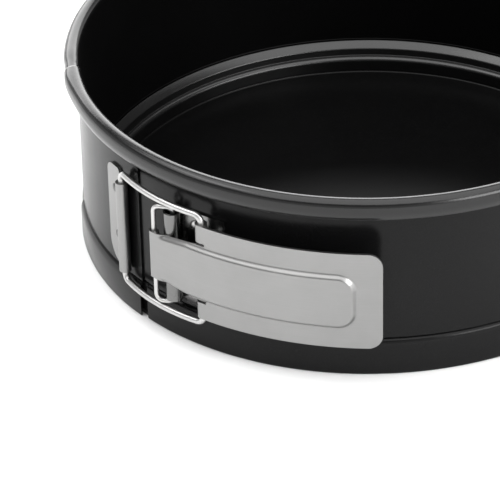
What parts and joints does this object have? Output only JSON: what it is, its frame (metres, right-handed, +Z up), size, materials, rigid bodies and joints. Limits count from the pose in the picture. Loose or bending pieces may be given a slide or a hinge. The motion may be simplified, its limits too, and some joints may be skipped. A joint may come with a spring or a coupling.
{
  "type": "springform pan",
  "caption": "Round springform cake pan: a split black ring with a rolled rim, closed by a lever latch, around a loose dished base.",
  "frame": {"origin": "on the ring's axis, in the plane that the foot of the ring stands on", "axes": "+Z up along the ring's axis, -Y toward the latch, +X to the right of somebody facing the latch"},
  "size_m": [0.2112, 0.2146, 0.0702],
  "materials": {
    "nonstick_steel": "satin",
    "latch_steel": "satin",
    "wire_steel": "satin"
  },
  "bodies": {
    "ring": {"ring_band": "nonstick_steel", "anchor_plate": "latch_steel", "anchor_rivets": "latch_steel", "bracket": "latch_steel", "bracket_rivets": "latch_steel"},
    "bail": {"bail": "wire_steel"},
    "lever": {"lever": "latch_steel"},
    "link": {"nose_link": "wire_steel"},
    "base": {"base_plate": "nonstick_steel"}
  },
  "joints": [
    {"name": "bail_swing", "type": "hinge", "parent": "ring", "child": "bail", "pos_m": [-0.04018, -0.0956, 0.0344], "axis": [0, 0, -1], "range_deg": [0, 34.3]},
    {"name": "lever_swing", "type": "hinge", "parent": "bail", "child": "lever", "pos_m": [-0.00239, -0.10537, 0.0344], "axis": [0, 0, -1], "range_deg": [0, 33.79]},
    {"name": "link_swing", "type": "hinge", "parent": "lever", "child": "link", "pos_m": [-0.02189, -0.10418, 0.0344], "axis": [0, 0, 1], "range_deg": [0, 79.6]},
    {"name": "base_lift", "type": "slide", "parent": "ring", "child": "base", "axis": [0, 0, 1], "range_m": [0, 0.075]}
  ],
  "couplings": [
    {"joint": "bail_swing", "follows": "lever_swing", "ratio": 1.015},
    {"joint": "link_swing", "follows": "lever_swing", "ratio": 2.3556}
  ]
}
